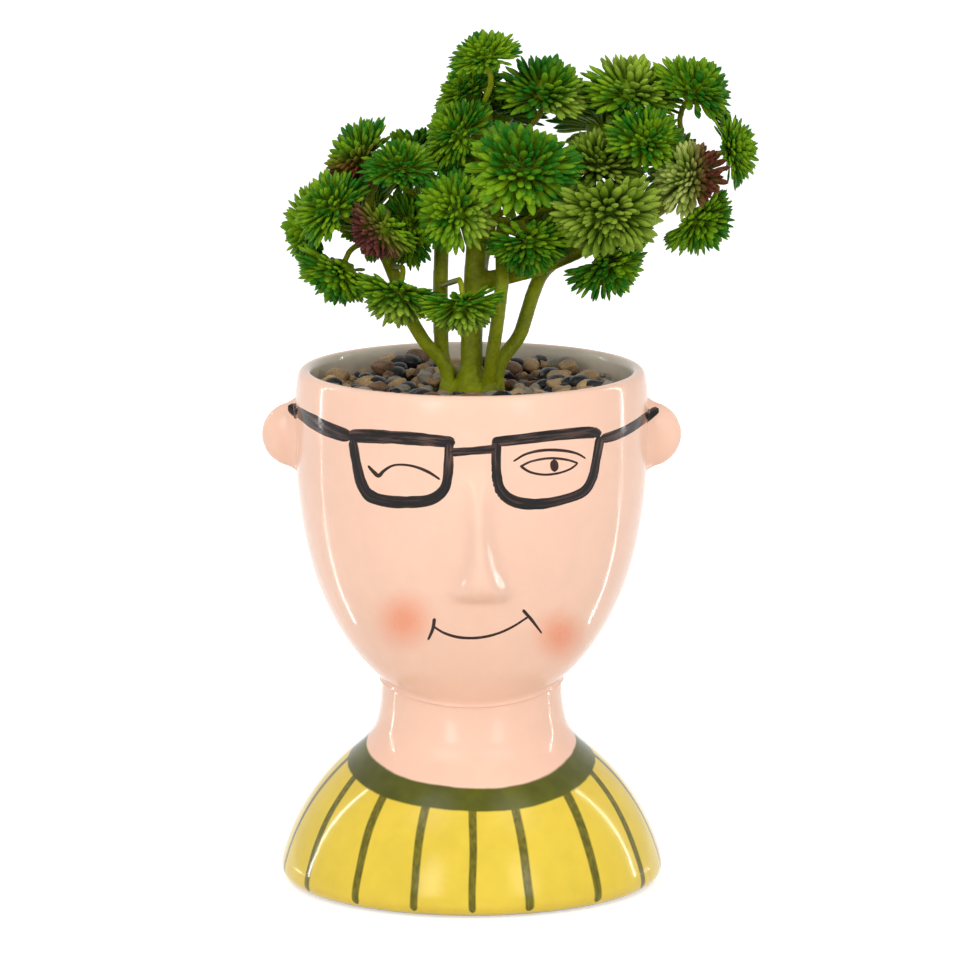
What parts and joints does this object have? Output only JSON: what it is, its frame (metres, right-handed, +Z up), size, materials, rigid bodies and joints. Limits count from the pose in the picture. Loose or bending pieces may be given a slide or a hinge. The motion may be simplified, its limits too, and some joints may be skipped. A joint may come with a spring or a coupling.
{
  "type": "head planter",
  "caption": "Glazed ceramic planter shaped as a bust with a painted face, filled with gravel and holding a lift-out artificial succulent.",
  "frame": {"origin": "centre of the flat base", "axes": "+Z up; the face looks to -Y; +X to the right in the picture"},
  "size_m": [0.1487, 0.1156, 0.2587],
  "materials": {
    "glaze": "gloss glaze",
    "foam": "matt foam",
    "gravel": "fine gravel",
    "stone_tan": "smooth",
    "stone_brown": "smooth",
    "stone_black": "smooth",
    "stone_grey": "smooth",
    "stem_green": "matt",
    "wire": "plain",
    "leaf_green": "matt"
  },
  "bodies": {
    "pot": {"ceramic_pot": "glaze", "foam_plug": "foam", "gravel_bed": "gravel", "pebbles_tan": "stone_tan", "pebbles_brown": "stone_brown", "pebbles_black": "stone_black", "pebbles_grey": "stone_grey"},
    "plant": {"stem_crown": "stem_green", "anchor_wire": "wire", "stem_centre": "stem_green", "stem_left_outer": "stem_green", "stem_left_inner": "stem_green", "stem_right_inner": "stem_green", "stem_right_outer": "stem_green", "stem_back": "stem_green", "leaf_rosette_01": "leaf_green", "leaf_rosette_02": "leaf_green", "leaf_rosette_03": "leaf_green", "leaf_rosette_04": "leaf_green", "leaf_rosette_05": "leaf_green", "leaf_rosette_06": "leaf_green", "leaf_rosette_07": "leaf_green", "leaf_rosette_08": "leaf_green", "leaf_rosette_09": "leaf_green", "leaf_rosette_10": "leaf_green", "leaf_rosette_11": "leaf_green", "leaf_rosette_12": "leaf_green", "leaf_rosette_13": "leaf_green", "leaf_rosette_14": "leaf_green", "leaf_rosette_15": "leaf_green", "leaf_rosette_16": "leaf_green", "leaf_rosette_17": "leaf_green", "leaf_rosette_18": "leaf_green", "leaf_rosette_19": "leaf_green", "leaf_rosette_20": "leaf_green", "leaf_rosette_21": "leaf_green", "leaf_rosette_22": "leaf_green", "leaf_rosette_23": "leaf_green", "leaf_rosette_24": "leaf_green", "leaf_rosette_25": "leaf_green", "leaf_rosette_26": "leaf_green", "leaf_rosette_27": "leaf_green", "leaf_rosette_28": "leaf_green", "leaf_rosette_29": "leaf_green", "leaf_rosette_30": "leaf_green", "leaf_rosette_31": "leaf_green", "leaf_rosette_32": "leaf_green"}
  },
  "joints": [
    {"name": "plant_lift", "type": "slide", "parent": "pot", "child": "plant", "axis": [0, 0, 1], "range_m": [0, 0.06]}
  ]
}
